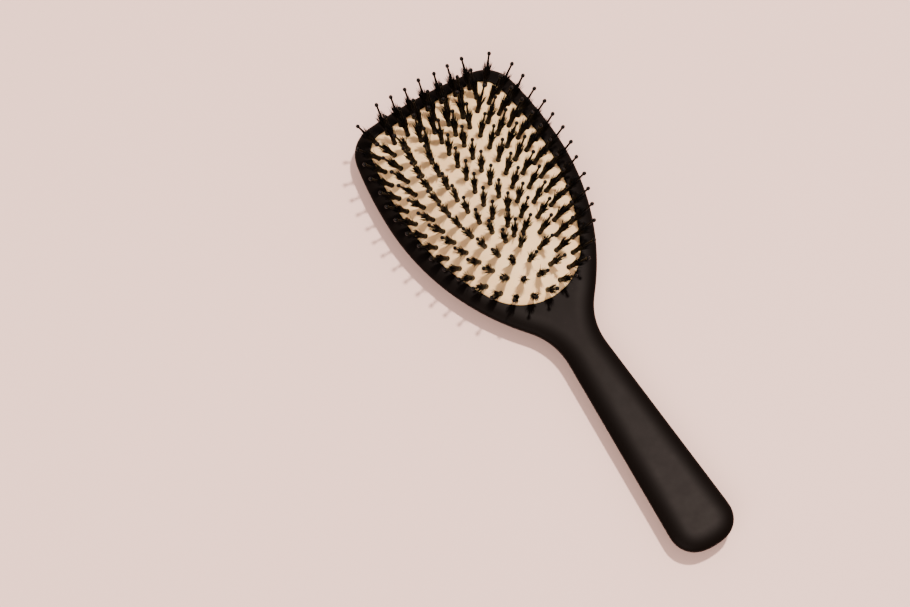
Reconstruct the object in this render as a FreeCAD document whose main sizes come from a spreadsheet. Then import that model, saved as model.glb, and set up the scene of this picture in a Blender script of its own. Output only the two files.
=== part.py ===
import FreeCAD, Part
import math
import os
import Sketcher
from FreeCAD import Placement, Rotation, Vector

# Paddle brush: a hollow moulded handle and head in two halves, a domed latex cushion held
# under the front half's lip by a carrier plate, and mixed tufts (quill, bristles, ball pin)
# in five rings.  Millimetres; +Y from the handle to the head, +Z out of the bristles.
# The origin is under the middle of the brush, on the plane that its back rests on.

SIZES = [
    ("overall_length", 250, "handle end to the top of the head"),
    ("head_half_width", 44.9, "widest half-width of the head"),
    ("widest_station", 200.3, "widest place, from the handle end"),
    ("side_radius", 116, "long curve of each side of the head, below its widest place"),
    ("upper_side_radius", 189, "the same curve above the widest place"),
    ("corner_radius", 16, "upper corners of the head"),
    ("top_radius", 230, "crown of the head's top edge"),
    ("neck_radius", 30, "hollow curve between handle and head"),
    ("neck_half_width", 10.1, "half-width at the neck"),
    ("neck_station", 103, "neck, from the handle end"),
    ("grip_half_width", 14.5, "half-width near the handle end"),
    ("grip_station", 26, "that place, from the handle end"),
    ("end_corner_radius", 11.8, "corners of the handle end"),
    ("end_radius", 32, "curve of the handle end"),
    ("rim_width", 7.3, "head edge to cushion opening, at the sides"),
    ("opening_top", 243.7, "upper end of the opening, from the handle end"),
    ("opening_bottom_radius", 27.5, "lower end of the opening"),
    ("opening_corner_radius", 11, "upper corners of the opening"),
    ("opening_top_radius", 300, "crown of the opening's top edge"),
    ("rim_height", 14, "back to front face"),
    ("seam_height", 11, "back to the seam between the halves"),
    ("front_edge_radius", 2.9, "rounding of the front edge"),
    ("back_edge_radius", 7, "rounding of the back edge"),
    ("cavity_edge_radius", 4.4, "rounding inside the back edge"),
    ("back_draft", 20, "slope of the back half's sides, in degrees"),
    ("opening_edge_radius", 0.6, "rounding of the opening's edge"),
    ("wall", 2.6, "side walls of the shells"),
    ("skin", 2.4, "front and back walls of the shells"),
    ("cavity_station", 100, "where the front half's grip cavity ends"),
    ("lip", 2, "thickness of the lip over the cushion flange"),
    ("recess_margin", 2.6, "recess beyond the opening, all round"),
    ("flange_margin", 2.2, "cushion flange beyond the opening"),
    ("carrier_margin", 2, "carrier plate beyond the opening"),
    ("carrier_thickness", 2, "carrier plate"),
    ("air_hole_radius", 1.5, "air holes in the carrier plate"),
    ("air_hole_pitch", 26, "distance between the air holes"),
    ("post_radius", 2.2, "posts under the carrier plate"),
    ("post_inset", 5, "posts, inside the opening's outline"),
    ("boss_radius", 2.6, "alignment bosses in the grip"),
    ("peg_radius", 1, "alignment pegs"),
    ("socket_radius", 1.06, "sockets for the pegs"),
    ("peg_length", 1.9, "alignment pegs"),
    ("socket_depth", 2.2, "sockets for the pegs"),
    ("boss_first", 28, "first boss, from the handle end"),
    ("boss_pitch", 32, "distance between bosses"),
    ("latex", 1.5, "thickness of the cushion"),
    ("cushion_gap", 0.15, "cushion to the edge of the opening"),
    ("dome_height", 5.2, "cushion's crown above the rim"),
    ("dome_power", 2.3, "how full the dome is"),
    ("dome_station", 190, "crown of the dome, from the handle end"),
    ("ring_inset", 3.2, "outermost ring of tufts, inside the opening"),
    ("ring_pitch", 7, "from one ring of tufts to the next"),
    ("ring_shift", 0.6, "outermost ring, towards the top of the head"),
    ("ring_shift_step", 0.8, "each further ring, towards the top of the head"),
    ("tuft_pitch", 7.45, "from tuft to tuft along a ring"),
    ("middle_half_gap", 4, "inner ring: half the gap between its two rows"),
    ("middle_low", 178.4, "inner ring: first pair, from the handle end"),
    ("middle_foot", 166.3, "inner ring: first of the single tufts at its foot"),
    ("middle_foot_pitch", 5.5, "from one of those tufts to the next"),
    ("lean_edge", 0.62, "outward lean of the outermost ring's tufts, as a slope"),
    ("lean_step", 0.155, "less lean from one ring to the next"),
    ("lean_ends", 0.6, "share of that lean at the ends of the head"),
    ("lean_along", 0.002, "lean towards the top of the head per mm along it"),
    ("lean_station", 165, "where that lean is none, from the handle end"),
    ("quill_radius", 1.12, "quill's stem"),
    ("quill_hole_radius", 1.28, "its hole in the cushion"),
    ("quill_top", 3.6, "quill above the cushion"),
    ("quill_bore_radius", 1, "socket for the bristles"),
    ("quill_bore_depth", 3.2, "socket for the bristles"),
    ("quill_flange_radius", 1.55, "flange under the cushion"),
    ("quill_flange_drop", 2.4, "cushion's surface to the flange"),
    ("quill_flange_thickness", 0.5, "flange under the cushion"),
    ("bristle_root_radius", 0.95, "bristle bundle in its quill"),
    ("bristle_tip_radius", 1.7, "bristle bundle at its tips"),
    ("bristle_height", 11.8, "bristle tips above the cushion"),
    ("pin_radius", 0.42, "nylon pin"),
    ("pin_height", 19, "ball's top above the cushion"),
    ("ball_radius", 0.8, "ball on the pin's tip"),
]

BOSSES = 3
POSTS = 8
AIR_HOLES = 3
MIDDLE_ROWS = 6
MIDDLE_FEET = 2
RINGS = "abcde"
RINGS_WITH_TOP_TUFT = "ab"
DOME_SCALES = (1.0, 0.93, 0.83, 0.7, 0.54, 0.36, 0.17, 0.03)
FAR = 60.0  # a length past every side of the head
DRILL_START = 5.0  # how far below the cushion's surface a quill's hole begins
HOLLOW_OVERRUN = 1.0  # how far the cushion's hollow runs on below its flange
SAME_POINT = 1e-6
SAME_HEIGHT = 1e-4
LEAST_CUT = 1e-3  # a pocket that takes less than this volume has missed

doc = FreeCAD.newDocument("paddle_brush")
sheet = doc.addObject("Spreadsheet::Sheet", "Sizes")
for row, (alias, value, note) in enumerate(SIZES, 1):
    sheet.set(f"A{row}", alias)
    sheet.set(f"B{row}", str(value))
    sheet.set(f"C{row}", note)
    sheet.setAlias(f"B{row}", alias)
doc.recompute()


class Size:
    """A length with its number and the expression that binds it to the sheet."""

    def __init__(self, number, text):
        self.number = float(number)
        self.text = text

    def __add__(self, other):
        return Size(self.number + other.number, f"({self.text} + {other.text})")

    def __sub__(self, other):
        return Size(self.number - other.number, f"({self.text} - {other.text})")


def size(alias):
    return Size(sheet.get(alias), f"Sizes.{alias}")


def number(alias):
    return size(alias).number


ZERO = Size(0, "0")
RIM = size("rim_height")
SEAM = size("seam_height")
LIP_UNDERSIDE = RIM - size("lip")
CARRIER_TOP = LIP_UNDERSIDE - size("latex")
CARRIER_BOTTOM = CARRIER_TOP - size("carrier_thickness")
SHELL_CEILING = RIM - size("skin")
BACK_FLOOR = size("skin")


def station(distance):
    """Y of a place given by its distance from the handle end."""
    return distance - number("overall_length") / 2


# ---------------------------------------------------------------- outlines


def crossing(centre_a, radius_a, centre_b, radius_b):
    """Where two circles cross, on the +X side of the line from a to b or its far end."""
    along = centre_b - centre_a
    gap = along.Length
    reach = (gap**2 + radius_a**2 - radius_b**2) / (2 * gap)
    rise = math.sqrt(radius_a**2 - reach**2)
    along.normalize()
    across = Vector(-along.y, along.x, 0)
    spots = [centre_a + along * reach + across * side * rise for side in (1, -1)]
    return max(spots, key=lambda spot: spot.x)


def away(centre, target, radius):
    """The point of a circle that lies towards a target."""
    return centre + (target - centre).normalize() * radius


def arc(start, end, centre, radius):
    """An arc from start to end whose middle lies on their side of its centre."""
    middle = away(centre, (start + end) * 0.5, radius)
    return Part.Arc(start, middle, end)


def mirrored(points):
    return [Vector(-p.x, p.y, 0) for p in points]


class Outline:
    """A closed symmetric chain of tangent curves: half of it, from its foot to its top.

    Each link is (centre, radius, bulge, alias).  A bulge of 1 curves outward and -1 inward.
    A straight link has no centre; it touches both its neighbours and faces outward.
    """

    def __init__(self, links, outward=None):
        self.links = links
        self.outward = outward

    def radius(self, link, inset):
        centre, radius, bulge, alias = link
        return radius - bulge * inset

    def half(self, inset=0.0):
        """Curves of the right half, as (curve ends, centre, radius), moved in by inset."""
        joints = [Vector(0, self.foot(inset), 0)]
        for one, two in zip(self.links, self.links[1:]):
            joints.extend(self.joint(one, two, inset))
        joints.append(Vector(0, self.top(inset), 0))
        spans = []
        for link, start, end in zip(self.links, joints[0::2], joints[1::2]):
            spans.append((start, end, link[0], self.radius(link, inset)))
        return spans

    def foot(self, inset):
        centre, radius = self.links[0][0], self.radius(self.links[0], inset)
        return centre.y - radius

    def top(self, inset):
        centre, radius = self.links[-1][0], self.radius(self.links[-1], inset)
        return centre.y + radius

    def joint(self, one, two, inset):
        """End of one link and start of the next, which are the same point."""
        if one[0] is None:
            touch = self.foot_on_line(two, inset)
        elif two[0] is None:
            touch = self.foot_on_line(one, inset)
        else:
            base = max(one, two, key=lambda link: link[1])
            other = two if base is one else one
            touch = away(base[0], other[0], self.radius(base, inset))
        return [touch, Vector(touch)]

    def foot_on_line(self, link, inset):
        """Where the straight link touches a curve beside it."""
        return link[0] + self.outward * link[2] * self.radius(link, inset)


def side_centre(radius):
    """Centre of a side curve of this radius that touches the head's widest place."""
    return Vector(number("head_half_width") - radius, station(number("widest_station")), 0)


def head_outline():
    """The outer edge of handle and head."""
    low = Vector(number("grip_half_width"), station(number("grip_station")), 0)
    high = Vector(number("neck_half_width"), station(number("neck_station")), 0)
    run = (high - low).normalize()
    outward = Vector(run.y, -run.x, 0)
    end_r, end_corner_r = number("end_radius"), number("end_corner_radius")
    neck_r, side_r = number("neck_radius"), number("side_radius")
    corner_r, top_r = number("corner_radius"), number("top_radius")
    end_c = Vector(0, station(end_r), 0)
    upper_r = number("upper_side_radius")
    side_c = side_centre(side_r)
    upper_c = side_centre(upper_r)
    top_c = Vector(0, station(number("overall_length") - top_r), 0)
    end_corner_c = line_circle(low - outward * end_corner_r, run, end_c, end_r - end_corner_r)
    neck_c = line_circle(low + outward * neck_r, run, side_c, side_r + neck_r)
    corner_c = crossing(upper_c, upper_r - corner_r, top_c, top_r - corner_r)
    links = [
        (end_c, end_r, 1, "end_radius"),
        (end_corner_c, end_corner_r, 1, "end_corner_radius"),
        (None, 0, 0, None),
        (neck_c, neck_r, -1, "neck_radius"),
        (side_c, side_r, 1, "side_radius"),
        (upper_c, upper_r, 1, "upper_side_radius"),
        (corner_c, corner_r, 1, "corner_radius"),
        (top_c, top_r, 1, "top_radius"),
    ]
    return Outline(links, outward)


def line_circle(point, run, centre, radius):
    """Where a line through a point, along a unit run, first meets a circle."""
    back = point - centre
    along = back.dot(run)
    root = math.sqrt(along**2 - back.dot(back) + radius**2)
    return point - run * (along + root)


def opening_outline():
    """The cushion's opening, whose sides run parallel to the head's."""
    side_c, side_r = side_centre(number("side_radius")), number("side_radius")
    upper_c, upper_r = side_centre(number("upper_side_radius")), number("upper_side_radius")
    side_r -= number("rim_width")
    upper_r -= number("rim_width")
    bottom_r, corner_r = number("opening_bottom_radius"), number("opening_corner_radius")
    top_r = number("opening_top_radius")
    top_c = Vector(0, station(number("opening_top") - top_r), 0)
    bottom_c = Vector(0, side_c.y - math.sqrt((side_r - bottom_r) ** 2 - side_c.x**2), 0)
    corner_c = crossing(upper_c, upper_r - corner_r, top_c, top_r - corner_r)
    return Outline([
        (bottom_c, bottom_r, 1, "opening_bottom_radius"),
        (side_c, side_r, 1, None),
        (upper_c, upper_r, 1, None),
        (corner_c, corner_r, 1, "opening_corner_radius"),
        (top_c, top_r, 1, "opening_top_radius"),
    ])


def curves(outline, inset=0.0):
    """All curves of an outline, anticlockwise from the left end of its foot."""
    spans = outline.half(inset)
    right = []
    for start, end, centre, radius in spans[1:-1]:
        right.append((start, end, centre, radius))
    left = []
    for start, end, centre, radius in reversed(right):
        mirror_centre = None if centre is None else mirrored([centre])[0]
        end_m, start_m = mirrored([end, start])
        left.append((end_m, start_m, mirror_centre, radius))
    foot, top = spans[0], spans[-1]
    foot_curve = Part.Arc(mirrored([foot[1]])[0], foot[0], foot[1])
    top_curve = Part.Arc(top[0], top[1], mirrored([top[0]])[0])

    def drawn(span):
        start, end, centre, radius = span
        if centre is None:
            return Part.LineSegment(start, end)
        return arc(start, end, centre, radius)

    return [foot_curve, *map(drawn, right), top_curve, *map(drawn, left)]


def wire(outline, inset=0.0, z=0.0):
    found = Part.Wire([curve.toShape() for curve in curves(outline, inset)])
    found.translate(Vector(0, 0, z))
    return found


HEAD = head_outline()
OPENING = opening_outline()

# ---------------------------------------------------------------- sketches and features


def new_body(label):
    body = doc.addObject("PartDesign::Body", label)
    body.Label = label
    return body


def new_sketch(body, name, height):
    """A sketch parallel to the body's base plane, at a height bound to the sheet."""
    sketch = body.newObject("Sketcher::SketchObject", name)
    plane = next(f for f in body.Origin.OriginFeatures if f.Role == "XY_Plane")
    sketch.AttachmentSupport = [(plane, "")]
    sketch.MapMode = "FlatFace"
    sketch.AttachmentOffset = Placement(Vector(0, 0, height.number), Rotation())
    sketch.setExpression("AttachmentOffset.Base.z", height.text)
    return sketch


def bind(sketch, constraint, name, text):
    index = sketch.addConstraint(constraint)
    sketch.renameConstraint(index, name)
    sketch.setExpression(f"Constraints.{name}", text)


def end_near(sketch, curve, spot):
    """Which end of a sketched curve lies at a spot: 1 for its start, 2 for its end."""
    return min((1, 2), key=lambda end: sketch.getPoint(curve, end).distanceToPoint(spot))


def outline_sketch(body, name, height, outline, inset=ZERO):
    """An outline moved in by an inset, its curves joined end to end and their radii bound."""
    sketch = new_sketch(body, name, height)
    drawn = curves(outline, inset.number)
    for curve in drawn:
        sketch.addGeometry(curve, False)
    count = len(drawn)
    for index in range(count):
        following = (index + 1) % count
        spot = drawn[index].EndPoint
        if drawn[following].StartPoint.distanceToPoint(spot) > SAME_POINT:
            spot = drawn[index].StartPoint
        ends = [end_near(sketch, index, spot), end_near(sketch, following, spot)]
        sketch.addConstraint(
            Sketcher.Constraint("Coincident", index, ends[0], following, ends[1])
        )
    for index, link in enumerate(outline.links):
        centre, radius, bulge, alias = link
        if centre is None or alias is None:
            continue
        sign = "-" if bulge > 0 else "+"
        bind(
            sketch,
            Sketcher.Constraint("Radius", index, radius - bulge * inset.number),
            alias,
            f"Sizes.{alias} {sign} {inset.text}",
        )
    return sketch


def circle_sketch(body, name, height, centres, radius):
    sketch = new_sketch(body, name, height)
    for index, centre in enumerate(centres):
        sketch.addGeometry(Part.Circle(centre, Vector(0, 0, 1), radius.number), False)
        bind(
            sketch,
            Sketcher.Constraint("Radius", index, radius.number),
            f"radius_{index + 1}",
            radius.text,
        )
    return sketch


def pad(body, name, sketch, length, downward=False, draft=None):
    """Pads a sketch up, or down, its sides drawn in by a draft where one is given."""
    feature = body.newObject("PartDesign::Pad", name)
    feature.Profile = sketch
    feature.Reversed = downward
    feature.setExpression("Length", length.text)
    if draft:
        feature.setExpression("TaperAngle", (ZERO - draft).text)
    doc.recompute()
    return feature


def pocket(body, name, sketch, length, upward=False, draft=None):
    """Cuts a pocket down from its sketch, or up, and checks that something was cut."""
    before = body.Shape.Volume
    feature = body.newObject("PartDesign::Pocket", name)
    feature.Profile = sketch
    feature.Reversed = upward
    feature.setExpression("Length", length.text)
    if draft:
        feature.setExpression("TaperAngle", (ZERO - draft).text)
    doc.recompute()
    if body.Shape.Volume > before - LEAST_CUT:
        raise RuntimeError(f"{body.Label}: {name} cut nothing")
    return feature


def round_edges(body, name, base, radius, wanted):
    """Rounds the edges of a feature that a test picks out."""
    names = []
    for index, edge in enumerate(base.Shape.Edges, 1):
        if wanted(edge):
            names.append(f"Edge{index}")
    feature = body.newObject("PartDesign::Fillet", name)
    feature.Base = (base, names)
    feature.setExpression("Radius", radius.text)
    doc.recompute()
    return feature


def at_height(edge, height):
    box = edge.BoundBox
    return abs(box.ZMin - height) < SAME_HEIGHT and abs(box.ZMax - height) < SAME_HEIGHT


def inside_rim(edge):
    """True for an edge of the opening rather than of the outer edge."""
    middle = edge.CenterOfMass
    return OPENING_BOX.isInside(Vector(middle.x, middle.y, 0))


OPENING_BOX = wire(OPENING, -1.0).BoundBox

# ---------------------------------------------------------------- shells and carrier


def boss_centres():
    first, pitch = number("boss_first"), number("boss_pitch")
    return [Vector(0, station(first + pitch * index), 0) for index in range(BOSSES)]


def grip_cavity_sketch(body, name, height):
    """The hollow of the grip, cut off square at the neck."""
    wall = number("wall")
    spans = HEAD.half(wall)
    foot, corner, side = spans[0], spans[1], spans[2]
    end_y = station(number("cavity_station"))
    run = side[1] - side[0]
    high = side[0] + run * ((end_y - side[0].y) / run.y)
    foot_left, side_left, high_left = mirrored([foot[1], side[0], high])
    corner_left = mirrored([corner[2]])[0]
    sketch = new_sketch(body, name, height)
    drawn = [
        Part.Arc(foot_left, foot[0], foot[1]),
        arc(corner[0], corner[1], corner[2], corner[3]),
        Part.LineSegment(side[0], high),
        Part.LineSegment(high, high_left),
        Part.LineSegment(high_left, side_left),
        arc(side_left, foot_left, corner_left, corner[3]),
    ]
    for curve in drawn:
        sketch.addGeometry(curve, False)
    for index, alias in ((0, "end_radius"), (1, "end_corner_radius")):
        bind(
            sketch,
            Sketcher.Constraint("Radius", index, number(alias) - wall),
            alias,
            f"Sizes.{alias} - Sizes.wall",
        )
    return sketch


def make_front_shell():
    body = new_body("front_shell")
    outline = outline_sketch(body, "front_outline", SEAM, HEAD)
    shell = pad(body, "front_half", outline, RIM - SEAM)
    round_edges(
        body, "front_edge", shell, size("front_edge_radius"),
        lambda edge: at_height(edge, RIM.number),
    )
    recess = outline_sketch(
        body, "recess_outline", SEAM, OPENING, ZERO - size("recess_margin")
    )
    pocket(body, "cushion_recess", recess, LIP_UNDERSIDE - SEAM, upward=True)
    opening = outline_sketch(body, "opening_outline", RIM, OPENING)
    through = pocket(body, "cushion_opening", opening, RIM - SEAM)
    round_edges(
        body, "opening_edge", through, size("opening_edge_radius"),
        lambda edge: at_height(edge, RIM.number) and inside_rim(edge),
    )
    cavity = grip_cavity_sketch(body, "grip_cavity_outline", SEAM)
    pocket(body, "grip_cavity", cavity, SHELL_CEILING - SEAM, upward=True)
    bosses = circle_sketch(body, "boss_circles", SEAM, boss_centres(), size("boss_radius"))
    pad(body, "bosses", bosses, SHELL_CEILING - SEAM)
    sockets = circle_sketch(body, "socket_circles", SEAM, boss_centres(), size("socket_radius"))
    pocket(body, "sockets", sockets, size("socket_depth"), upward=True)
    return body


def make_back_shell():
    body = new_body("back_shell")
    draft = size("back_draft")
    outline = outline_sketch(body, "back_outline", SEAM, HEAD)
    shell = pad(body, "back_half", outline, SEAM, downward=True, draft=draft)
    round_edges(
        body, "back_edge", shell, size("back_edge_radius"),
        lambda edge: at_height(edge, 0.0),
    )
    cavity = outline_sketch(body, "cavity_outline", SEAM, HEAD, size("wall"))
    hollow = pocket(body, "cavity", cavity, SEAM - BACK_FLOOR, draft=draft)
    round_edges(
        body, "cavity_edge", hollow, size("cavity_edge_radius"),
        lambda edge: at_height(edge, BACK_FLOOR.number),
    )
    posts = circle_sketch(body, "post_circles", BACK_FLOOR, post_centres(), size("post_radius"))
    pad(body, "carrier_posts", posts, CARRIER_BOTTOM - BACK_FLOOR)
    bosses = circle_sketch(body, "boss_circles", BACK_FLOOR, boss_centres(), size("boss_radius"))
    pad(body, "bosses", bosses, SEAM - BACK_FLOOR)
    pegs = circle_sketch(body, "peg_circles", SEAM, boss_centres(), size("peg_radius"))
    pad(body, "pegs", pegs, size("peg_length"))
    return body


def make_carrier_plate():
    body = new_body("carrier_plate")
    outline = outline_sketch(
        body, "carrier_outline", CARRIER_BOTTOM, OPENING, ZERO - size("carrier_margin")
    )
    pad(body, "plate", outline, size("carrier_thickness"))
    middle, pitch = number("dome_station"), number("air_hole_pitch")
    centres = []
    for index in range(AIR_HOLES):
        offset = (index - (AIR_HOLES - 1) / 2) * pitch
        centres.append(Vector(0, station(middle + offset), 0))
    holes = circle_sketch(body, "air_hole_circles", CARRIER_TOP, centres, size("air_hole_radius"))
    pocket(body, "air_holes", holes, size("carrier_thickness"))
    return body


# ---------------------------------------------------------------- tuft layout


def ring_half(inset):
    """Right half of the opening's outline moved in by an inset, foot to top.

    Curves whose radius is used up drop out, and their neighbours run on until they cross.
    """
    foot, side, upper, corner, top = OPENING.half(inset)
    if corner[3] > 0:
        return [foot, side, upper, corner, top]
    meet = crossing(upper[2], upper[3], top[2], top[3])
    return [foot, side, (upper[0], meet, upper[2], upper[3]), (meet, top[1], top[2], top[3])]


def point_along(spans, distance):
    """A point at a distance along a ring, with the direction that faces out of the ring."""
    for start, end, centre, radius in spans:
        turn = (start - centre).getAngle(end - centre)
        length = turn * radius
        if distance <= length + SAME_POINT:
            angle = math.atan2(start.y - centre.y, start.x - centre.x) + distance / radius
            outward = Vector(math.cos(angle), math.sin(angle), 0)
            return centre + outward * radius, outward
        distance -= length
    raise ValueError("the ring is shorter than that")


def both_sides(spots):
    """Places on the right, each with its outward direction, and their mirror images."""
    return spots + [tuple(mirrored(spot)) for spot in spots]


def loop_points(inset, pitch, top_tuft):
    """Places spaced evenly round a ring, one at its foot, and one or none at its top."""
    spans = ring_half(inset)
    half = sum((s - c).getAngle(e - c) * r for s, e, c, r in spans)
    end = 0.0 if top_tuft else 0.5  # half a step to spare where two tufts flank the top
    steps = round(half / pitch - end) + end
    gap = half / steps
    right = [point_along(spans, gap * index) for index in range(1, math.ceil(steps))]
    spots = [(Vector(0, OPENING.foot(inset), 0), Vector(0, -1, 0))]
    if top_tuft:
        spots.append((Vector(0, OPENING.top(inset), 0), Vector(0, 1, 0)))
    return spots + both_sides(right)


def post_centres():
    spans = ring_half(number("post_inset"))
    half = sum((s - c).getAngle(e - c) * r for s, e, c, r in spans)
    gap = 2 * half / POSTS
    right = [point_along(spans, gap * (index + 0.5))[0] for index in range(POSTS // 2)]
    return right + mirrored(right)


def middle_points():
    """The inner ring: two straight rows, and single tufts on the middle line below them."""
    pitch, half_gap = number("tuft_pitch"), number("middle_half_gap")
    upright = Vector(0, 0, 0)
    feet = []
    for index in range(MIDDLE_FEET):
        distance = number("middle_foot") + number("middle_foot_pitch") * index
        feet.append((Vector(0, station(distance), 0), upright))
    right = []
    for index in range(MIDDLE_ROWS):
        distance = number("middle_low") + pitch * index
        right.append((Vector(half_gap, station(distance), 0), upright))
    return feet + both_sides(right)


def ring_points(index):
    """Each tuft of a ring: its place on the plan and the direction that faces outward."""
    if index == len(RINGS) - 1:
        return middle_points()
    inset = number("ring_inset") + number("ring_pitch") * index
    shift = number("ring_shift") + number("ring_shift_step") * index
    found = loop_points(inset, number("tuft_pitch"), RINGS[index] in RINGS_WITH_TOP_TUFT)
    return [(point + Vector(0, shift, 0), outward) for point, outward in found]


def lean(point, outward, index):
    """Unit vector along a tuft of a ring: the tufts fan out over the edge of the cushion."""
    slope = number("lean_edge") - number("lean_step") * index
    along = number("lean_along") * (point.y - station(number("lean_station")))
    across = slope * outward.x
    along += slope * number("lean_ends") * outward.y
    return Vector(across, along, 1).normalize()


# ---------------------------------------------------------------- cushion


def dome_rise(scale):
    return number("dome_height") * (1 - scale ** number("dome_power"))


def dome_skin(inset, drop, foot):
    """Solid under a dome whose level lines are scaled copies of the opening's outline."""
    middle = Vector(0, station(number("dome_station")), 0)
    wires = []
    for scale in DOME_SCALES:
        level = wire(OPENING, inset)
        level.translate(-middle)
        shrink = FreeCAD.Matrix()
        shrink.scale(Vector(scale, scale, 1))
        level = level.transformGeometry(shrink)
        level.translate(middle + Vector(0, 0, RIM.number + dome_rise(scale) - drop))
        wires.append(level)
    dome = Part.makeLoft(wires, True, False)
    base_z = RIM.number - drop
    column = Part.Face(wire(OPENING, inset, foot)).extrude(Vector(0, 0, base_z - foot))
    return column.fuse(dome).removeSplitter()


def make_cushion(tufts):
    """Domed latex membrane with its flange, and a hole for every quill."""
    latex, gap = number("latex"), number("cushion_gap")
    flange = Part.Face(wire(OPENING, -number("flange_margin"), CARRIER_TOP.number))
    flange = flange.extrude(Vector(0, 0, latex))
    outer = dome_skin(gap, 0.0, CARRIER_TOP.number)
    inner = dome_skin(gap + latex, latex, CARRIER_TOP.number - HOLLOW_OVERRUN)
    solid = outer.fuse(flange).cut(inner)
    holes = []
    for base, axis in tufts:
        start = base - axis * DRILL_START
        holes.append(Part.makeCylinder(number("quill_hole_radius"), FAR, start, axis))
    solid = solid.cut(Part.makeCompound(holes))
    if len(solid.Solids) != 1:
        raise RuntimeError("the cushion came apart")
    feature = doc.addObject("Part::Feature", "cushion_pad")
    feature.Label = "cushion_pad"
    feature.Shape = solid.Solids[0]
    return feature


def seated(index):
    """Where each tuft of a ring meets the cushion's outer surface, with its direction."""
    dome = dome_skin(number("cushion_gap"), 0.0, CARRIER_TOP.number)
    found = []
    for point, outward in ring_points(index):
        line = Part.makeLine(Vector(point.x, point.y, 0), Vector(point.x, point.y, FAR))
        base = Vector(point.x, point.y, line.common(dome).BoundBox.ZMax)
        found.append((base, lean(point, outward, index)))
    return found


# ---------------------------------------------------------------- tufts


def cylinder(name, radius, height, z):
    shape = doc.addObject("Part::Cylinder", name)
    shape.setExpression("Radius", radius.text)
    shape.setExpression("Height", height.text)
    shape.setExpression("Placement.Base.z", z.text)
    return shape


def make_quill():
    """Stem through the cushion with a flange below it and a socket in its top."""
    top, drop = size("quill_top"), size("quill_flange_drop")
    thickness = size("quill_flange_thickness")
    bottom = ZERO - drop - thickness
    stem = cylinder("quill_stem", size("quill_radius"), top - bottom, bottom)
    flange = cylinder("quill_flange", size("quill_flange_radius"), thickness, bottom)
    socket = cylinder(
        "quill_socket", size("quill_bore_radius"), size("quill_bore_depth"),
        top - size("quill_bore_depth"),
    )
    whole = doc.addObject("Part::Fuse", "quill_blank")
    whole.Base, whole.Tool = stem, flange
    quill = doc.addObject("Part::Cut", "quill")
    quill.Base, quill.Tool = whole, socket
    return quill


def make_bristles():
    """Envelope of one bristle bundle: gripped in its socket, then spreading to its tips."""
    top, depth = size("quill_top"), size("quill_bore_depth")
    root = cylinder("bristle_root", size("bristle_root_radius"), depth, top - depth)
    spread = doc.addObject("Part::Cone", "bristle_spread")
    spread.setExpression("Radius1", "Sizes.bristle_root_radius")
    spread.setExpression("Radius2", "Sizes.bristle_tip_radius")
    spread.setExpression("Height", (size("bristle_height") - top).text)
    spread.setExpression("Placement.Base.z", top.text)
    bundle = doc.addObject("Part::Fuse", "bristles")
    bundle.Base, bundle.Tool = root, spread
    return bundle


def make_pin():
    root = size("quill_top") - size("quill_bore_depth")
    ball_z = size("pin_height") - size("ball_radius")
    shaft = cylinder("pin_shaft", size("pin_radius"), ball_z - root, root)
    ball = doc.addObject("Part::Sphere", "pin_ball")
    ball.setExpression("Radius", "Sizes.ball_radius")
    ball.setExpression("Placement.Base.z", ball_z.text)
    pin = doc.addObject("Part::Fuse", "pin")
    pin.Base, pin.Tool = shaft, ball
    return pin


def make_group(label, pattern, tufts):
    """One separate copy of a pattern at every tuft of a ring."""
    copies = []
    for base, axis in tufts:
        copy = pattern.Shape.copy()
        turned = Placement(base, Rotation(Vector(0, 0, 1), axis))
        copy.Placement = turned.multiply(pattern.Placement)
        copies.append(copy)
    group = doc.addObject("Part::Feature", label)
    group.Label = label
    group.Shape = Part.makeCompound(copies)
    return group


# ---------------------------------------------------------------- the whole brush


def check(parts):
    doc.recompute()
    for thing in doc.Objects:
        if "Invalid" in thing.State or "Error" in thing.State:
            raise RuntimeError(f"{thing.Label} did not compute: {thing.State}")
    for part in parts:
        if part.Shape.isNull() or not part.Shape.isValid():
            raise RuntimeError(f"{part.Label} has no valid shape")


def main():
    rings = [seated(index) for index in range(len(RINGS))]
    parts = [make_front_shell(), make_back_shell(), make_carrier_plate()]
    parts.append(make_cushion([tuft for ring in rings for tuft in ring]))
    patterns = {"quills": make_quill(), "bristles": make_bristles(), "pins": make_pin()}
    doc.recompute()
    for letter, tufts in zip(RINGS, rings):
        for kind, pattern in patterns.items():
            parts.append(make_group(f"{kind}_ring_{letter}", pattern, tufts))
    check(parts)
    os.makedirs("parts", exist_ok=True)
    for part in parts:
        part.Shape.exportStep(f"parts/{part.Label}.step")
        print(part.Label, len(part.Shape.Solids), round(part.Shape.Volume, 1))


main()
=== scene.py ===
import math

import bmesh
import bpy
import numpy as np
from mathutils import Matrix, Vector


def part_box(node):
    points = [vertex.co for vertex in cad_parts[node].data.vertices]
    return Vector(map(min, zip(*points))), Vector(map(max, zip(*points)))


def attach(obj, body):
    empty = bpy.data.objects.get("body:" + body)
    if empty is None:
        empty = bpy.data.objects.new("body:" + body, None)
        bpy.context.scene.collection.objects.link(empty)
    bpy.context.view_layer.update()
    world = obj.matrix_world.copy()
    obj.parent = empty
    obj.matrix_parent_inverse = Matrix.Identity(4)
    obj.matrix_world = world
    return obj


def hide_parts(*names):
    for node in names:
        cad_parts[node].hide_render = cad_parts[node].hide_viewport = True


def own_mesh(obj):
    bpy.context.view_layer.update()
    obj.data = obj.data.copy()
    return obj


# The paddle brush's looks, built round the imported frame.  Metres; +Y from the handle to the
# head, +Z out of the bristles.  Outlines and tuft places are read from the CAD nodes' meshes.

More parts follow.
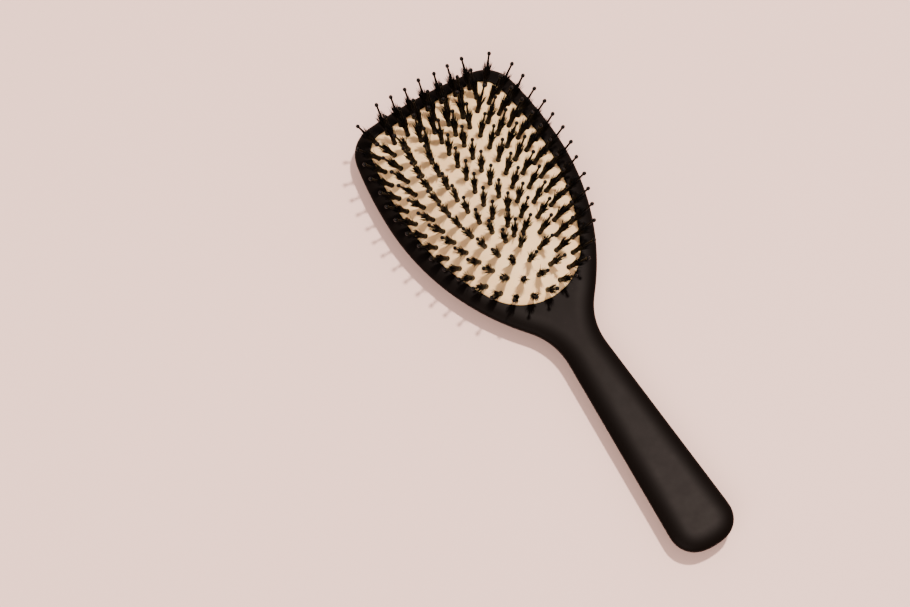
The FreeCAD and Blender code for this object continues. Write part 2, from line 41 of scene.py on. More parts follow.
MM = 0.001
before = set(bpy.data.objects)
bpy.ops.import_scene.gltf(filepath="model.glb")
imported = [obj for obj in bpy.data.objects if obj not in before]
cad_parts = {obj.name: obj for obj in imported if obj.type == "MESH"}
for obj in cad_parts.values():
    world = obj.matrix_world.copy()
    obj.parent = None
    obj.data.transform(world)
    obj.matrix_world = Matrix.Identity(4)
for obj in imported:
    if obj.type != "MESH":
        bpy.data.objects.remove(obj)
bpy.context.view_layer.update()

RINGS = "abcde"  # of tufts, from the outermost to the innermost
RNG = np.random.default_rng(20)

# Heights, from the CAD nodes.
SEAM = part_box("front_shell")[0].z
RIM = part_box("front_shell")[1].z
LIP_UNDERSIDE = RIM - 2 * MM
DOME_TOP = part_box("cushion_pad")[1].z
FLANGE_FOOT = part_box("cushion_pad")[0].z
OUTLINE_CUT = SEAM + 0.05 * MM  # where the front shell is cut to read the body's outline
OPENING_CUT = LIP_UNDERSIDE + 0.6 * MM  # and where to read the cushion's opening

# The two halves of the body.
POINTS = 640  # along the outline
FRONT_STEPS, BACK_STEPS, LINING_STEPS = 26, 34, 22  # rows of points from the edge inward
OUTLINE_SMOOTHING = 1.6 * MM
HEAD_CROWN = 9.3 * MM  # how far in from the edge the front keeps rising, on the head
HANDLE_CROWN = 0.96  # the same on the handle, as a share of its half-width
NECK_ENDS, HEAD_BEGINS = -22 * MM, 15 * MM  # along the body; the crown widens between them
FRONT_POWERS = (2.0, 2.0)  # of the front's rounded profile, for rise()
BACK_REACH = 15 * MM  # how far in from the edge the back keeps falling, on the head
BACK_POWERS = (2.2, 1.55)
SEAM_ROUND = 0.16 * MM
ROUND_MIDDLE = 0.3  # how far in from the corner a quarter round's middle lies, of its radius
OPENING_ROUND = 0.5 * MM
OPENING_TURNS = (30, 60, 90)  # degrees round the opening's edge, a row of points at each
RECESS = 2.4 * MM  # how far the space under the lip goes out past the opening
WALL = 2.6 * MM
BACK_SKIN = 2.4 * MM
MIDDLE_FOOT = 12.5 * MM  # from the handle's end to where the middle line begins
MIDDLE_TOP = 36 * MM  # from the head's top to where the back's middle line ends
MIDDLE_BEND = 6 * MM
MIDDLE_GAP = 0.4 * MM  # between the front's middle line and the opening
MEASURED_AT_ONCE = 4000  # points, which keeps the arrays small
SAME_PLACE = 1e-7  # or nearer, the vertices that a CAD node's faces share
WELD = 1e-6  # or nearer, the vertices of a new piece that are made one

# The cushion.
CUSHION_GAP = 0.15 * MM  # between it and the opening
LATEX = 1.5 * MM
DOME_POWER = 2.3
DOME_MIDDLE = 65.0 * MM  # along the body
DOME_FOOT = LIP_UNDERSIDE + 0.1 * MM
EDGE_DIP = 0.9 * MM  # how far the dome's edge is drawn down
EDGE_DIP_FROM = 0.955  # of the way out from its middle
CUSHION_POINTS = 420  # along each level line of the dome
CUSHION_LEVELS = 92
INNERMOST_LEVEL = 0.004  # its scale
UNDERSIDE_EVERY = 4  # levels of the top to one of the underside
DIMPLE_DEPTH, DIMPLE_RADIUS = 0.22 * MM, 1.9 * MM
COLLAR_HEIGHT, COLLAR_RADIUS, COLLAR_WIDTH = 0.16 * MM, 1.55 * MM, 0.38 * MM
FLANGE_REACH = 2.1 * MM  # past the opening
FLANGE_TOP = LIP_UNDERSIDE - 0.03 * MM
FLANGE_ROUND = 0.3 * MM

# A tuft.  Heights are measured along its axis from the cushion's surface.
PIN_HEIGHT = 19 * MM
PIN_SIDES, QUILL_SIDES, BRISTLE_SIDES = 16, 22, 3
BRISTLE_STEPS = 5
BRISTLES_PER_TUFT = 92
BRISTLE_RADIUS = (0.14 * MM, 0.2 * MM)
BRISTLE_TAPER = 0.5  # of its radius, from the root to the tip
BRISTLE_TWIST = 900  # radians to a metre of bow, so that no two bristles face alike
SPLAY_POWER = 1.5  # how much of the splay comes near the tip

# How much pins and bristles vary, in millimetres.
PIN_STRAY = 0.28  # how far a pin's tip is off straight, each way
ROOT_RADIUS = 0.85  # of the space that the roots fill
ROOT_HEIGHT, ROOT_RAGGED = 2.2, 0.6
TIP_REACH = (1.9, 3.0)  # how far out the outermost bristles' tips go
TIP_HEIGHT = (12.0, 14.6)
EDGE_SHORTER = 1.4  # how much lower the outermost bristles end
CLUMPS, CLUMP_REACH, CLUMP_HEIGHT = 7, 0.55, 0.6  # which lean aside and stand up unevenly
BUNDLE_LEAN, TIP_STRAY, BRISTLE_BOW = 0.15, 0.14, 0.12
WILD_EVERY, WILD_REACH, WILD_SHORTER = 7, 1.35, 2.8  # some stick out further and end lower

# The room.
FLOOR_HALF = 3.0
LIGHTS_AIM = Vector((0, 0.03, RIM))
CAMERA_PLACE = Vector((-0.2687, -0.3327, 1.139))
CAMERA_TARGET = Vector((-0.0389, 0.0285, 0.014))
CAMERA_LENS = 106.5
CAMERA_ROLL = math.radians(1.15)

# ---------------------------------------------------------------- reading the frame


def joined_bmesh(node):
    """A CAD node's mesh with the vertices that its faces share made one."""
    mesh = bmesh.new()
    mesh.from_mesh(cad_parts[node].data)
    bmesh.ops.remove_doubles(mesh, verts=mesh.verts, dist=SAME_PLACE)
    return mesh


def section(node, height):
    """Closed loops in which a level plane cuts a CAD node, as arrays of x and y."""
    mesh = joined_bmesh(node)
    everything = mesh.verts[:] + mesh.edges[:] + mesh.faces[:]
    cut = bmesh.ops.bisect_plane(
        mesh, geom=everything, plane_co=(0, 0, height), plane_no=(0, 0, 1)
    )
    links = {}
    for edge in cut["geom_cut"]:
        if isinstance(edge, bmesh.types.BMEdge):
            one, two = edge.verts
            links.setdefault(one, []).append(two)
            links.setdefault(two, []).append(one)
    loops, left = [], dict.fromkeys(links)
    while left:
        here = next(iter(left))
        loop = []
        while here is not None:
            del left[here]
            loop.append(here.co.xy)
            here = next((vert for vert in links[here] if vert in left), None)
        loops.append(np.array(loop, float))
    mesh.free()
    return loops


def area(loop):
    """A closed loop's area, which is negative if it runs clockwise."""
    x, y = loop.T
    return 0.5 * float(np.sum(x * np.roll(y, -1) - np.roll(x, -1) * y))


def by_size(loops):
    """Loops from the largest to the smallest."""
    return sorted(loops, key=lambda loop: abs(area(loop)), reverse=True)


def along(loop, count):
    """Points evenly spaced along a closed loop."""
    closed = np.vstack([loop, loop[:1]])
    reach = np.concatenate([[0], np.cumsum(np.hypot(*np.diff(closed, axis=0).T))])
    places = np.linspace(0, reach[-1], count, endpoint=False)
    return np.stack([np.interp(places, reach, closed[:, k]) for k in (0, 1)], 1)


def smooth_outline(loop, count):
    """A loop as a smooth symmetric outline that runs anticlockwise from its foot."""
    if area(loop) < 0:
        loop = loop[::-1]
    fine = along(loop, 8 * count)
    fine = np.roll(fine, -int(np.argmin(fine[:, 1] + abs(fine[:, 0]))), axis=0)
    step = np.hypot(*(fine[1] - fine[0]))
    reach = int(4 * OUTLINE_SMOOTHING / step)
    kernel = np.exp(-0.5 * (np.arange(-reach, reach + 1) * step / OUTLINE_SMOOTHING) ** 2)
    kernel /= kernel.sum()
    wrapped = np.concatenate([fine[-reach:], fine, fine[:reach]])
    fine = np.stack([np.convolve(wrapped[:, k], kernel, "valid") for k in (0, 1)], 1)
    even = along(fine, count)
    mirror = np.roll(even[::-1], 1, axis=0) * (-1, 1)
    return 0.5 * (even + mirror)


def islands(node):
    """The vertices of each separate solid of a CAD node."""
    mesh = joined_bmesh(node)
    left, found = dict.fromkeys(mesh.verts), []
    while left:
        waiting = [next(iter(left))]
        del left[waiting[0]]
        group = []
        while waiting:
            vert = waiting.pop()
            group.append(vert.co[:])
            for edge in vert.link_edges:
                other = edge.other_vert(vert)
                if other in left:
                    del left[other]
                    waiting.append(other)
        found.append(np.array(group))
    mesh.free()
    return found


def tuft_places(ring):
    """(base, axis) of every tuft of a ring: each pin's line, measured down from its ball."""
    places = []
    for points in islands(f"pins_ring_{ring}"):
        middle = points.mean(0)
        axis = np.linalg.svd(points - middle, full_matrices=False)[2][0]
        axis = axis * np.sign(axis[2])
        top = float(((points - middle) @ axis).max())
        places.append((middle + axis * (top - PIN_HEIGHT), axis))
    places.sort(key=lambda place: math.atan2(place[0][0], place[0][1] - DOME_MIDDLE))
    return places


HEAD = smooth_outline(by_size(section("front_shell", OUTLINE_CUT))[0], POINTS)
OPENING = by_size(section("front_shell", OPENING_CUT))[1]
TUFTS = {ring: tuft_places(ring) for ring in RINGS}

# ---------------------------------------------------------------- meshes


def new_piece(name, verts, faces, material, smooth=True):
    """A mesh object in the scene, with one material."""
    mesh = bpy.data.meshes.new(name)
    mesh.from_pydata([tuple(v) for v in verts], [], faces)
    mesh.update()
    piece = bpy.data.objects.new(name, mesh)
    bpy.context.scene.collection.objects.link(piece)
    mesh.materials.append(material)
    if smooth:
        mesh.polygons.foreach_set("use_smooth", [True] * len(mesh.polygons))
    return piece


def tidy_mesh(piece):
    """Welds vertices that coincide, drops empty faces and turns every face outward."""
    mesh = bmesh.new()
    mesh.from_mesh(piece.data)
    bmesh.ops.remove_doubles(mesh, verts=mesh.verts, dist=WELD)
    bmesh.ops.dissolve_degenerate(mesh, edges=mesh.edges, dist=WELD / 4)
    bmesh.ops.recalc_face_normals(mesh, faces=mesh.faces)
    mesh.to_mesh(piece.data)
    mesh.free()
    piece.data.update()


def rows_to_faces(rows, columns, skip=None):
    """Quads between successive closed rows of points.  skip(row, column) leaves some out."""
    faces = []
    for row in range(rows - 1):
        for column in range(columns):
            if skip and skip(row, column):
                continue
            following = (column + 1) % columns
            low, high = row * columns, (row + 1) * columns
            faces.append((low + column, low + following, high + following, high + column))
    return faces


def end_faces(rows, columns):
    """The faces that close the first and the last of the rows."""
    last = (rows - 1) * columns
    return [tuple(range(columns))[::-1], tuple(range(last, last + columns))]


def surface(name, rows, material, skip=None, capped=False):
    """A piece whose faces join closed rows of equally many points."""
    faces = rows_to_faces(len(rows), len(rows[0]), skip)
    if capped:
        faces += end_faces(len(rows), len(rows[0]))
    piece = new_piece(name, np.concatenate(rows), faces, material)
    tidy_mesh(piece)
    return piece


def outward_normals(outline):
    ahead = np.roll(outline, -1, axis=0) - np.roll(outline, 1, axis=0)
    normal = np.stack([ahead[:, 1], -ahead[:, 0]], 1)
    return normal / np.hypot(*normal.T)[:, None]


NORMALS = outward_normals(HEAD)


def edge_distance(points):
    """How far points lie from the body's outline."""
    found = np.empty(len(points))
    ahead = np.roll(HEAD, -1, axis=0) - HEAD
    length = (ahead**2).sum(1)
    for start in range(0, len(points), MEASURED_AT_ONCE):
        part = points[start : start + MEASURED_AT_ONCE, None, :] - HEAD[None]
        share = np.clip((part * ahead).sum(2) / length, 0, 1)
        gap = part - share[..., None] * ahead
        found[start : start + MEASURED_AT_ONCE] = np.sqrt((gap**2).sum(2).min(1))
    return found


def smoothstep(value, low, high):
    share = np.clip((value - low) / (high - low), 0, 1)
    return share * share * (3 - 2 * share)


def half_width(y):
    """The body's half-width at a place along it, held level over the round of its end."""
    right = HEAD[: POINTS // 2 + 1]
    level_from = HEAD[:, 1].min() + 2 * MIDDLE_FOOT
    return np.interp(np.maximum(y, level_from), right[:, 1], right[:, 0])


def crown_reach(y, head_reach):
    """How far in from the edge the surface keeps curving."""
    share = smoothstep(y, NECK_ENDS, HEAD_BEGINS)
    narrow = np.minimum(HANDLE_CROWN * half_width(y), head_reach)
    return narrow * (1 - share) + head_reach * share


def rise(distance, reach, powers):
    """A rounded profile: 0 at the edge and 1 from reach inward."""
    share = np.clip(distance / reach, 0, 1)
    return (1 - (1 - share) ** powers[0]) ** (1 / powers[1])


def middle_line(y, low, high=None):
    """Where a point of the outline meets the body's middle line, bent in at its ends."""
    y = low + MIDDLE_BEND * np.log1p(np.exp((y - low) / MIDDLE_BEND))
    if high is not None:
        y = high - MIDDLE_BEND * np.log1p(np.exp((high - y) / MIDDLE_BEND))
    return y


def spread_steps(count, power):
    """Shares from 0 to 1 that lie close together near 0."""
    turn = np.linspace(0, math.pi / 2, count)
    return 1 - np.cos(turn) ** (2 / power)


def level(points, z):
    """Points of x and y, with the height z that they share or each their own."""
    z = np.broadcast_to(z, (len(points),))
    return np.column_stack([points, z])


def body_half(inner, powers, reach, height, steps):
    """Rows of a body half's outer surface, from the seam's rounded edge to its inner line."""
    sign = 1 if height > SEAM else -1
    corner = SEAM_ROUND * ROUND_MIDDLE
    rows = [
        level(HEAD - NORMALS * SEAM_ROUND, SEAM),
        level(HEAD - NORMALS * corner, SEAM + sign * corner),
    ]
    begin = SEAM + sign * SEAM_ROUND
    for share in spread_steps(steps, powers[1]):
        points = HEAD + (inner - HEAD) * share
        run = crown_reach(points[:, 1], reach)
        up = rise(edge_distance(points), run, powers) if share else 0.0
        rows.append(level(points, begin + (height - begin) * up))
    return rows


def front_inner_line():
    """Where the front's rows end: on the opening, and below it on the middle line.

    Each point of the outline has one.  The second result says which are on the middle line.
    """
    foot_y = OPENING[:, 1].min()
    first = int(np.argmax(HEAD[: POINTS // 2 + 1, 1] > foot_y))
    last = POINTS - first
    opening = smooth_outline(OPENING, last - first)
    on_middle = np.ones(POINTS, bool)
    on_middle[first : last + 1] = False
    inner = np.zeros_like(HEAD)
    middle = middle_line(HEAD[on_middle, 1], HEAD[:, 1].min() + MIDDLE_FOOT)
    inner[on_middle, 1] = np.minimum(middle, foot_y - MIDDLE_GAP)
    inner[first:last] = opening
    inner[last] = opening[0]
    return inner, on_middle


def make_front_shell(material):
    """The upper half: a crowned grip that runs into the rim round the cushion's opening."""
    inner, on_middle = front_inner_line()
    toward = HEAD - inner
    toward /= np.hypot(*toward.T)[:, None]
    toward[on_middle] = 0
    edge = inner + toward * OPENING_ROUND
    rows = body_half(edge, FRONT_POWERS, HEAD_CROWN, RIM, FRONT_STEPS)
    top_z = rows[-1][:, 2]
    wall_start = len(rows) - 1
    for turn in OPENING_TURNS:
        turn = math.radians(turn)
        ring = edge - toward * OPENING_ROUND * math.sin(turn)
        rows.append(level(ring, top_z - OPENING_ROUND * (1 - math.cos(turn))))
    for z in (0.5 * (RIM + LIP_UNDERSIDE), LIP_UNDERSIDE):
        rows.append(level(inner, z))
    rows.append(level(inner + toward * RECESS, LIP_UNDERSIDE))
    wall_end = len(rows)
    rows.append(level(inner + toward * RECESS, SEAM))
    rows.append(level(HEAD - NORMALS * SEAM_ROUND, SEAM))

    def skip(row, column):
        following = (column + 1) % POINTS
        inside = on_middle[column] or on_middle[following]
        return inside and wall_start <= row < wall_end

    return surface("front_cover", rows, material, skip)


def make_back_shell(material):
    """The lower half: a hollow tray whose sides curve in all the way to its flat."""
    low, high = HEAD[:, 1].min() + MIDDLE_FOOT, HEAD[:, 1].max() - MIDDLE_TOP
    inner = np.zeros_like(HEAD)
    inner[:, 1] = middle_line(HEAD[:, 1], low, high)
    rows = body_half(inner, BACK_POWERS, BACK_REACH, 0.0, BACK_STEPS)
    edge = HEAD - NORMALS * WALL
    lining = []
    for share in spread_steps(LINING_STEPS, BACK_POWERS[1]):
        points = edge + (inner - edge) * share
        run = crown_reach(points[:, 1], BACK_REACH)
        down = rise(np.maximum(edge_distance(points) - WALL, 0), run - WALL, BACK_POWERS)
        lining.append(level(points, SEAM + (BACK_SKIN - SEAM) * (down if share else 0)))
    return surface("back_cover", lining[::-1] + rows, material)


# ---------------------------------------------------------------- cushion


def grown(outline, amount):
    """An outline moved outward by an amount, or inward by a negative one."""
    return outline + outward_normals(outline) * amount


def quill_relief(points):
    """Height that the latex gains: it is drawn down at each quill, with a collar round it."""
    gain = np.zeros(len(points))
    for ring in RINGS:
        for base, _ in TUFTS[ring]:
            gap = np.hypot(points[:, 0] - base[0], points[:, 1] - base[1])
            gain -= DIMPLE_DEPTH * np.exp(-((gap / DIMPLE_RADIUS) ** 2))
            gain += COLLAR_HEIGHT * np.exp(-(((gap - COLLAR_RADIUS) / COLLAR_WIDTH) ** 2))
    return gain


def dome_row(outline, scale, depth=0.0):
    """A level line of the dome: the outline scaled about the dome's middle."""
    middle = np.array([0, DOME_MIDDLE])
    points = middle + (outline - middle) * scale
    z = RIM + (DOME_TOP - RIM) * (1 - scale**DOME_POWER)
    z -= EDGE_DIP * smoothstep(scale, EDGE_DIP_FROM, 1.0)
    return level(points, z + quill_relief(points) - depth)


def make_cushion(material):
    """The latex dome: its skin, its edge down to the flange, and its hollow underside."""
    outline = smooth_outline(OPENING, CUSHION_POINTS)
    outer = grown(outline, -CUSHION_GAP)
    inner = grown(outline, -CUSHION_GAP - LATEX)
    scales = np.linspace(INNERMOST_LEVEL, 1, CUSHION_LEVELS)
    rows = [dome_row(outer, scale) for scale in scales]
    edge_z = float(rows[-1][:, 2].mean())
    rows.append(level(outer, 0.5 * (edge_z + DOME_FOOT)))
    rows.append(level(outer, DOME_FOOT))
    rows.append(level(inner, DOME_FOOT))
    rows += [dome_row(inner, scale, LATEX) for scale in scales[::-UNDERSIDE_EVERY]]
    return surface("cushion_dome", rows, material, capped=True)


def make_flange(material):
    """The cushion's flange, which the carrier plate holds up against the lip."""
    outline = smooth_outline(OPENING, CUSHION_POINTS)
    inside, outside = grown(outline, -CUSHION_GAP - LATEX), grown(outline, FLANGE_REACH)
    rounded = grown(outside, -FLANGE_ROUND)
    profile = [
        (inside, FLANGE_FOOT), (rounded, FLANGE_FOOT), (outside, FLANGE_FOOT + FLANGE_ROUND),
        (outside, FLANGE_TOP - FLANGE_ROUND), (rounded, FLANGE_TOP), (inside, FLANGE_TOP),
        (inside, FLANGE_FOOT),
    ]
    return surface("cushion_flange", [level(points, z) for points, z in profile], material)


# ---------------------------------------------------------------- tufts


def axes_of(axis):
    """A square frame whose third direction is the axis."""
    side = np.cross((0.0, 1.0, 0.0), axis)
    side /= np.linalg.norm(side)
    return np.stack([side, np.cross(axis, side), axis])


def turned(profile, sides):
    """A turned solid from (radius, height) pairs in millimetres, with flat ends."""
    angles = np.linspace(0, 2 * math.pi, sides, endpoint=False)
    verts = []
    for radius, height in profile:
        radius, height = radius * MM, height * MM
        verts += [(radius * math.cos(a), radius * math.sin(a), height) for a in angles]
    faces = rows_to_faces(len(profile), sides) + end_faces(len(profile), sides)
    return np.array(verts), faces


def quill_shape():
    """Flange, stem, collar at the latex, rounded lip and the socket in its top."""
    outside, bore, lip, lip_foot = 1.1, 0.98, 0.1, 3.45
    flange = [(0.9, -2.9), (1.48, -2.9), (1.55, -2.82), (1.55, -2.48), (1.48, -2.4), (1.14, -2.38)]
    stem = [(1.12, -2.1), (1.12, -0.3)]
    collar = [(1.2, -0.12), (1.24, 0.1), (1.21, 0.3), (1.13, 0.42)]
    side = [(outside, 0.6), (outside, 2.2), (outside + 0.015, 3.35)]
    rim = []
    for turn in (30, 60, 90, 130, 170):
        turn = math.radians(turn)
        radius = outside - lip * (1 - math.cos(turn)) + 0.01
        rim.append((radius, lip_foot + 1.4 * lip * math.sin(turn)))
    socket = [(bore - 0.06, 3.3), (bore - 0.09, 2.2), (bore - 0.1, 1.8), (0.5, 1.75)]
    return turned(flange + stem + collar + side + rim + socket, QUILL_SIDES)


def pin_shape():
    """A tapered nylon shaft that flares into its ball."""
    ball, half_length, top = 0.92, 1.1, 18.98
    profile = [(0.3, 1.6), (0.52, 1.8), (0.52, 6.0), (0.51, 12.0), (0.48, 15.5), (0.47, 16.5)]
    for turn in range(-58, 90, 16):
        turn = math.radians(turn)
        profile.append((ball * math.cos(turn), top - half_length * (1 - math.sin(turn))))
    return turned(profile, PIN_SIDES)


def leaning_pin(verts, faces):
    """A pin as moulded, off straight by a little."""
    tip = RNG.normal(0, PIN_STRAY, 2) * MM
    share = (verts[:, 2:] / PIN_HEIGHT) ** 1.5
    return np.hstack([verts[:, :2] + tip * share, verts[:, 2:]]), faces


def bristle(root, tip, bow, root_radius):
    """One tapered bristle from its root to its tip, splayed outward and bowed halfway up."""
    verts = []
    angles = np.linspace(0, 2 * math.pi, BRISTLE_SIDES, endpoint=False) + bow[0] * BRISTLE_TWIST
    for step in range(BRISTLE_STEPS):
        share = step / BRISTLE_STEPS
        splay = np.array([share**SPLAY_POWER, share**SPLAY_POWER, share])
        centre = root + (tip - root) * splay
        centre = centre + np.array([bow[0], bow[1], 0]) * 4 * share * (1 - share)
        radius = root_radius * (1 - BRISTLE_TAPER * share)
        for angle in angles:
            verts.append(centre + np.array([math.cos(angle), math.sin(angle), 0]) * radius)
    point = len(verts)
    last = point - BRISTLE_SIDES
    verts.append(tip)
    faces = rows_to_faces(BRISTLE_STEPS, BRISTLE_SIDES)
    faces += [(last + k, last + (k + 1) % BRISTLE_SIDES, point) for k in range(BRISTLE_SIDES)]
    faces.append(tuple(range(BRISTLE_SIDES))[::-1])
    return np.array(verts), faces


def joined_shapes(shapes):
    """The vertices and faces of several shapes as those of one."""
    verts, faces, count = [], [], 0
    for some, some_faces in shapes:
        verts.append(some)
        faces += [tuple(v + count for v in face) for face in some_faces]
        count += len(some)
    return np.concatenate(verts), faces


def bundle_shape():
    """One tuft's bristles: packed at the quill, then fanning out to ragged tips."""
    bristles = []
    lean = RNG.normal(0, BUNDLE_LEAN, 2)
    clumps = RNG.uniform(-1, 1, (CLUMPS, 2))
    for index in range(BRISTLES_PER_TUFT):
        reach = math.sqrt(RNG.uniform(0.02, 1))  # evenly over a disc, except its very middle
        turn = RNG.uniform(0, 2 * math.pi)
        out = np.array([math.cos(turn), math.sin(turn)]) * reach
        clump = clumps[index % CLUMPS]
        tip_out = out * RNG.uniform(*TIP_REACH) + CLUMP_REACH * clump + lean
        tip_out = tip_out + RNG.normal(0, TIP_STRAY, 2)
        height = RNG.uniform(*TIP_HEIGHT) - EDGE_SHORTER * reach + CLUMP_HEIGHT * clump[0]
        if index % WILD_EVERY == 0:
            tip_out = tip_out * WILD_REACH
            height -= RNG.uniform(0, WILD_SHORTER)
        root_height = ROOT_HEIGHT + RNG.uniform(0, ROOT_RAGGED)
        root = np.array([*(out * ROOT_RADIUS), root_height]) * MM
        tip = np.array([*tip_out, height]) * MM
        bow = RNG.normal(0, BRISTLE_BOW, 2) * MM
        bristles.append(bristle(root, tip, bow, RNG.uniform(*BRISTLE_RADIUS)))
    return joined_shapes(bristles)


def plant(name, ring, shape_of, material):
    """One shape at every tuft of a ring, as one piece."""
    shapes = []
    for base, axis in TUFTS[ring]:
        verts, faces = shape_of()
        shapes.append((base + verts @ axes_of(axis), faces))
    return new_piece(name, *joined_shapes(shapes), material)


# ---------------------------------------------------------------- materials


class Recipe:
    """A node material, built up by linking nodes to its principled shader."""

    def __init__(self, name):
        self.material = bpy.data.materials.new(name)
        self.material.use_nodes = True
        self.nodes = self.material.node_tree.nodes
        self.links = self.material.node_tree.links
        self.shader = self.nodes["Principled BSDF"]
        self.place = self.nodes.new("ShaderNodeTexCoord").outputs["Object"]

    def set(self, **values):
        """Sets the shader's own sockets by name, with _ for a space."""
        for name, value in values.items():
            self.shader.inputs[name.replace("_", " ")].default_value = value
        return self

    def noise(self, scale, detail=3.0, roughness=0.55):
        """Noise whose features are about 1 / scale metres across."""
        node = self.nodes.new("ShaderNodeTexNoise")
        node.inputs["Scale"].default_value = scale
        node.inputs["Detail"].default_value = detail
        node.inputs["Roughness"].default_value = roughness
        self.links.new(self.place, node.inputs["Vector"])
        return node.outputs["Fac"]

    def colour(self, factor, *stops):
        """Base colour that runs through (position, colour) stops as the factor grows."""
        node = self.nodes.new("ShaderNodeValToRGB")
        elements = node.color_ramp.elements
        while len(elements) < len(stops):
            elements.new(0.5)
        for element, (position, colour) in zip(elements, stops):
            element.position = position
            element.color = (*colour, 1)
        self.links.new(factor, node.inputs["Fac"])
        self.links.new(node.outputs["Color"], self.shader.inputs["Base Color"])

    def roughness(self, factor, low, high):
        """Roughness from low to high over the middle of a noise's range."""
        node = self.nodes.new("ShaderNodeMapRange")
        node.inputs["From Min"].default_value = 0.3
        node.inputs["From Max"].default_value = 0.7
        node.inputs["To Min"].default_value = low
        node.inputs["To Max"].default_value = high
        self.links.new(factor, node.inputs["Value"])
        self.links.new(node.outputs["Result"], self.shader.inputs["Roughness"])

    def bump(self, *heights):
        """Bumps one on another, from (height output, strength, distance) triples."""
        normal = None
        for height, strength, distance in heights:
            node = self.nodes.new("ShaderNodeBump")
            node.inputs["Strength"].default_value = strength
            node.inputs["Distance"].default_value = distance
            self.links.new(height, node.inputs["Height"])
            if normal:
                self.links.new(normal, node.inputs["Normal"])
            normal = node.outputs["Normal"]
        self.links.new(normal, self.shader.inputs["Normal"])


def soft_touch_black():
    recipe = Recipe("soft_touch_black")
    darker, lighter = (0.0019, 0.0011, 0.0008), (0.0024, 0.0014, 0.001)
    grain, ripple = recipe.noise(5200, 2), recipe.noise(1300, 3)
    recipe.colour(recipe.noise(28, 4), (0.3, darker), (0.7, lighter))
    recipe.roughness(recipe.noise(190, 5), 0.4, 0.43)
    recipe.bump((grain, 0.1, 0.03 * MM), (ripple, 0.05, 0.03 * MM))
    return recipe.set(Specular_IOR_Level=0.047, Specular_Tint=(1.0, 0.84, 0.79, 1)).material


def latex():
    recipe = Recipe("natural_latex")
    darker, middling, lighter = (0.82, 0.485, 0.21), (0.88, 0.545, 0.255), (0.92, 0.6, 0.3)
    cloud, speck = recipe.noise(60, 5, 0.6), recipe.noise(1600, 3)
    recipe.colour(cloud, (0.25, darker), (0.5, middling), (0.8, lighter))
    recipe.roughness(speck, 0.5, 0.66)
    recipe.bump((speck, 0.1, 0.05 * MM), (recipe.noise(260, 4), 0.12, 0.15 * MM))
    recipe.set(Subsurface_Weight=0.12, Subsurface_Scale=1.6 * MM)
    recipe.set(Subsurface_Radius=(1.0, 0.5, 0.25))
    return recipe.set(Specular_IOR_Level=0.35).material


def dark_nylon(name, darker, roughness):
    recipe = Recipe(name)
    lighter = tuple(channel * 1.7 for channel in darker)
    recipe.colour(recipe.noise(420, 3), (0.35, darker), (0.7, lighter))
    recipe.roughness(recipe.noise(1400, 3), roughness - 0.06, roughness + 0.08)
    recipe.bump((recipe.noise(3600, 2), 0.08, 0.03 * MM))
    return recipe.set(Specular_IOR_Level=0.09).material


def hair():
    recipe = Recipe("boar_bristle")
    darker, lighter = (0.0008, 0.0005, 0.0004), (0.0032, 0.0017, 0.0011)
    strands = recipe.noise(2600, 2)
    recipe.colour(strands, (0.35, darker), (0.75, lighter))
    recipe.roughness(strands, 0.42, 0.6)
    recipe.bump((recipe.noise(9000, 2), 0.2, 0.02 * MM))
    return recipe.set(Specular_IOR_Level=0.06).material


def carrier_plastic():
    recipe = Recipe("carrier_plastic")
    darker, lighter = (0.1, 0.1, 0.1), (0.14, 0.14, 0.135)
    recipe.colour(recipe.noise(90, 3), (0.3, darker), (0.7, lighter))
    recipe.roughness(recipe.noise(700, 4), 0.4, 0.55)
    recipe.bump((recipe.noise(2500, 3), 0.15, 0.05 * MM))
    return recipe.material


def paper():
    recipe = Recipe("pale_floor")
    darker, lighter = (0.83, 0.54, 0.46), (0.85, 0.56, 0.48)
    recipe.colour(recipe.noise(3, 4), (0.3, darker), (0.7, lighter))
    recipe.bump((recipe.noise(700, 4), 0.05, 0.2 * MM))
    return recipe.set(Roughness=0.9, Specular_IOR_Level=0.1).material


# ---------------------------------------------------------------- the object

BLACK, LATEX_SKIN, BRISTLE = soft_touch_black(), latex(), hair()
QUILL_NYLON = dark_nylon("quill_nylon", (0.0016, 0.001, 0.0008), 0.42)
PIN_NYLON = dark_nylon("pin_nylon", (0.0014, 0.0009, 0.0007), 0.36)

front = make_front_shell(BLACK)
back = make_back_shell(BLACK)
dome = make_cushion(LATEX_SKIN)
flange = make_flange(LATEX_SKIN)
for piece, slot in ((front, "soft_touch_black"), (back, "soft_touch_black"),
                    (dome, "latex_cushion"), (flange, "latex_cushion")):
    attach(piece, "handle")
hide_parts("front_shell")
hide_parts("back_shell")
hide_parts("cushion_pad")

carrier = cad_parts["carrier_plate"]
carrier.data.materials.clear()
carrier.data.materials.append(carrier_plastic())

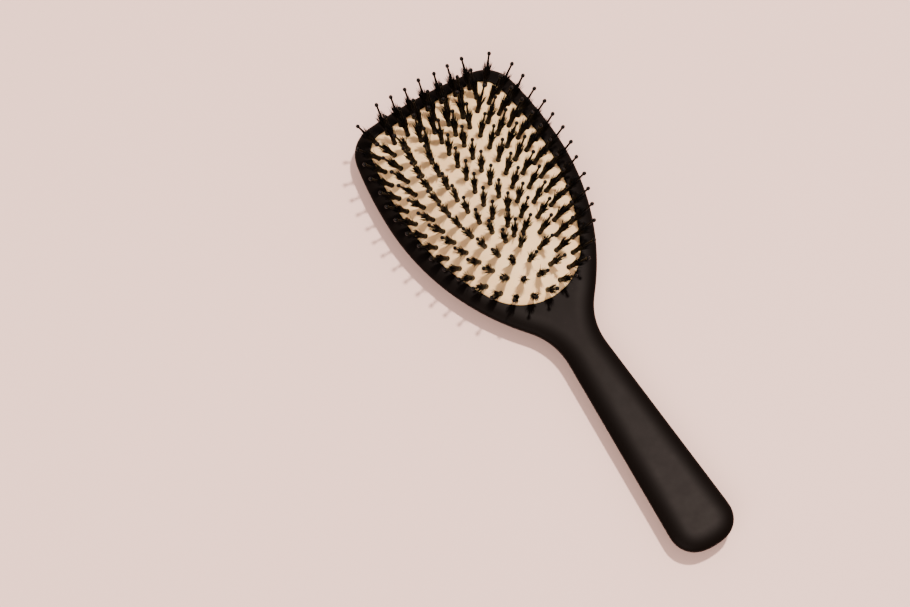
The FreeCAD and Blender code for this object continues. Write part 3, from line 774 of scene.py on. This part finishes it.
QUILL, PIN = quill_shape(), pin_shape()
TUFT_KINDS = (
    ("quills", "quill_nylon", QUILL_NYLON, lambda: QUILL),
    ("pins", "pin_nylon", PIN_NYLON, lambda: leaning_pin(*PIN)),
    ("bristles", "bristle", BRISTLE, bundle_shape),
)
for ring in RINGS:
    for kind, slot, material, shape_of in TUFT_KINDS:
        piece = plant(f"{kind}_{ring}", ring, shape_of, material)
        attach(piece, f"tufts_{ring}")
        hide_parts(f"{kind}_ring_{ring}")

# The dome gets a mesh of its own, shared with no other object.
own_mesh(dome)

# ---------------------------------------------------------------- floor, light and camera


def make_floor():
    corners = [(-1, -1, 0), (1, -1, 0), (1, 1, 0), (-1, 1, 0)]
    corners = np.array(corners) * FLOOR_HALF
    floor = new_piece("floor", corners, [(0, 1, 2, 3)], paper(), smooth=False)


def area_light(name, toward, distance, size, power, colour):
    """A round softbox that shines on the head from a direction."""
    light = bpy.data.lights.new(name, "AREA")
    light.shape = "DISK"
    light.size = size
    light.energy = power
    light.color = colour
    holder = bpy.data.objects.new(name, light)
    direction = Vector(toward).normalized()
    holder.location = LIGHTS_AIM + direction * distance
    holder.rotation_euler = direction.to_track_quat("Z", "Y").to_euler()
    bpy.context.scene.collection.objects.link(holder)


def make_lights():
    """A small key that throws the tufts' shadows on the latex, and a large soft fill."""
    area_light("key", toward=(0.25, 0.06, 1), distance=2.2, size=0.14, power=86,
               colour=(1.0, 0.95, 0.9))
    area_light("fill", toward=(-0.8, -0.5, 1), distance=1.6, size=1.2, power=14,
               colour=(1.0, 0.94, 0.9))


def make_world(colour=(1.0, 0.87, 0.82), strength=0.9):
    world = bpy.data.worlds.new("studio")
    world.use_nodes = True
    sky = world.node_tree.nodes["Background"]
    sky.inputs["Color"].default_value = (*colour, 1)
    sky.inputs["Strength"].default_value = strength
    bpy.context.scene.world = world


def make_camera():
    """A camera that looks at its target, rolled a little about its own axis."""
    camera = bpy.data.cameras.new("camera")
    camera.lens = CAMERA_LENS
    camera.clip_start = 0.01
    holder = bpy.data.objects.new("camera", camera)
    ahead = (CAMERA_TARGET - CAMERA_PLACE).normalized()
    side = ahead.cross(Vector((0, 0, 1))).normalized()
    up = side.cross(ahead)
    right = side * math.cos(CAMERA_ROLL) + up * math.sin(CAMERA_ROLL)
    up = right.cross(ahead)
    holder.matrix_world = Matrix((right, up, -ahead)).transposed().to_4x4()
    holder.location = CAMERA_PLACE
    bpy.context.scene.collection.objects.link(holder)
    bpy.context.scene.camera = holder


make_floor()
make_lights()
make_world()
make_camera()
